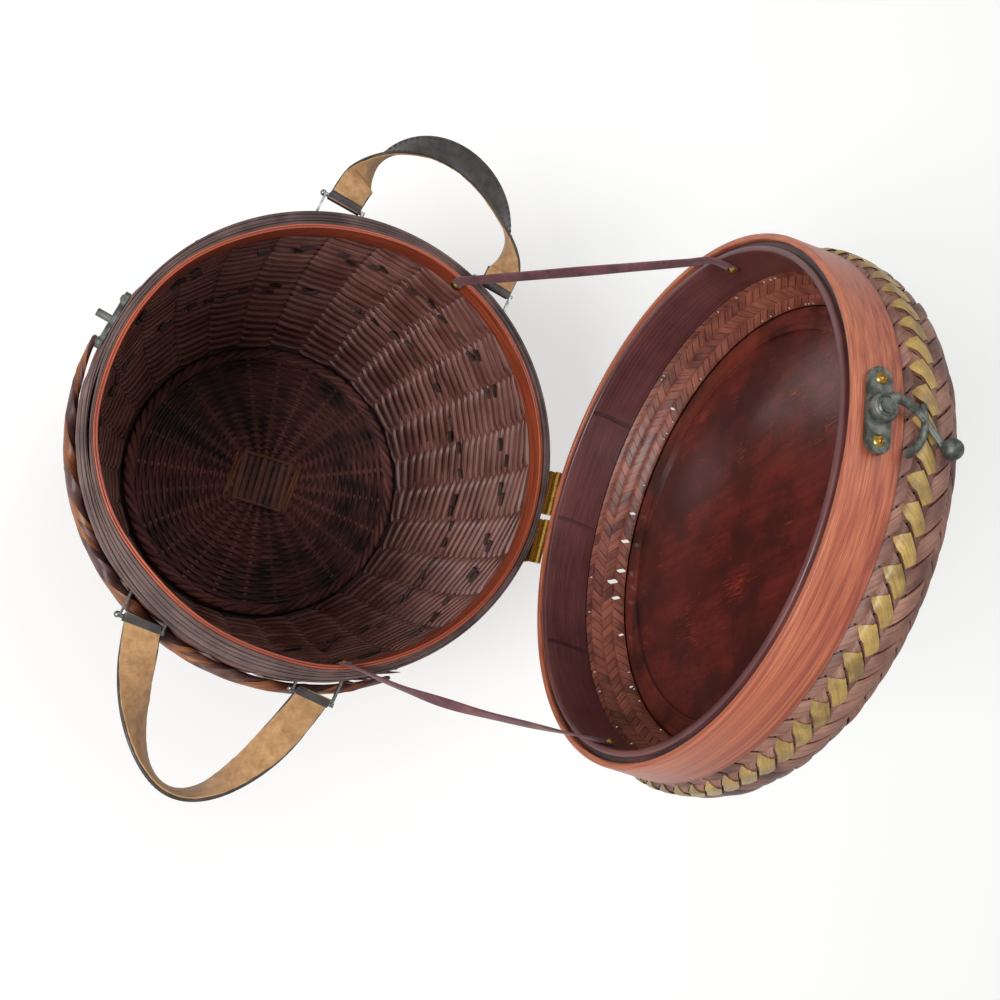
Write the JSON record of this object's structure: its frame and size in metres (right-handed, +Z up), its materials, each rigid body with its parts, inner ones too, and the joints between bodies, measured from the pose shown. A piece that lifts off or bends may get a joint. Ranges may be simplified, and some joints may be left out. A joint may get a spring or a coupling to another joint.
{
  "type": "round lidded wicker basket",
  "caption": "Round wicker basket with a domed woven lid on hinges, leather loop handles, lid stays and a swing latch.",
  "frame": {"origin": "centre of the foot ring on the floor", "axes": "+Z up, +Y to the lid's hinges, +X to the right handle, latch near -Y"},
  "size_m": [0.3869, 0.3316, 0.5004],
  "materials": {
    "rod_brown": "satin",
    "rod_dark": "satin",
    "rod_orange": "satin",
    "bamboo_red": "satin",
    "bamboo_dark": "matte",
    "bamboo_plum": "satin",
    "strip_brown": "satin",
    "gold_strip": "satin",
    "lacquer": "gloss",
    "brass": "polished",
    "bronze": "aged",
    "steel": "worn",
    "leather": "grained",
    "suede": "rough",
    "thong": "matte"
  },
  "bodies": {
    "basket": {"foot_ring": "bamboo_dark", "foot_border": "rod_brown", "base_weave_over": "rod_brown", "base_weave_under": "rod_brown", "base_slath": "rod_brown", "upset_border": "rod_dark", "wall_weave_inner": "rod_brown", "wall_weave_outer": "rod_brown", "rim_border": "rod_orange", "rim_inner_hoop": "bamboo_red", "rim_middle_hoop": "bamboo_dark", "rim_outer_hoop": "bamboo_dark", "rim_side_hoop": "bamboo_dark", "rim_pegs": "bamboo_dark", "keeper_plate": "bronze", "keeper_screws": "bronze", "basket_hinge_leaves": "brass", "basket_hinge_screws": "brass", "hinge_pins": "brass", "basket_tacks": "brass", "handle_pins": "steel"},
    "lid": {"lid_band": "bamboo_red", "lid_core_hoop": "bamboo_dark", "lid_inner_hoop": "bamboo_plum", "lid_backing": "strip_brown", "lid_strips_left": "strip_brown", "lid_strips_right": "strip_brown", "lid_gold_strips": "gold_strip", "lining_cone": "strip_brown", "lining_strips_left": "strip_brown", "lining_strips_right": "strip_brown", "inner_lath_ring": "lacquer", "outer_lath_ring": "lacquer", "inner_panel": "lacquer", "outer_panel": "lacquer", "panel_spacer": "bamboo_dark", "lid_hinge_leaves": "brass", "lid_hinge_screws": "brass", "lid_tacks": "brass", "latch_plate": "bronze", "latch_rivet": "bronze", "latch_screws": "brass", "upper_stay": "thong", "lower_stay": "thong"},
    "latch": {"latch_arm": "bronze"},
    "right_handle": {"right_strap": "leather", "right_strap_lining": "suede", "right_strap_eyes": "leather"},
    "left_handle": {"left_strap": "leather", "left_strap_lining": "suede", "left_strap_eyes": "leather"}
  },
  "joints": [
    {"name": "lid_hinge", "type": "hinge", "parent": "basket", "child": "lid", "pos_m": [0.004, 0.12825, 0.2344], "axis": [1, 0, 0], "range_deg": [0, 92], "deforming": ["upper_stay", "lower_stay"]},
    {"name": "latch_swing", "type": "hinge", "parent": "lid", "child": "latch", "pos_m": [-0.02668, 0.1474, 0.48766], "axis": [0.2079, -0.0341, -0.9776], "range_deg": [0, 172]},
    {"name": "right_handle_swing", "type": "hinge", "parent": "basket", "child": "right_handle", "pos_m": [0.12405, -0.01965, 0.221], "axis": [0.1564, 0.9877, 0], "range_deg": [-60, 50]},
    {"name": "left_handle_swing", "type": "hinge", "parent": "basket", "child": "left_handle", "pos_m": [-0.12405, 0.01965, 0.221], "axis": [-0.1564, -0.9877, 0], "range_deg": [-60, 50]}
  ]
}
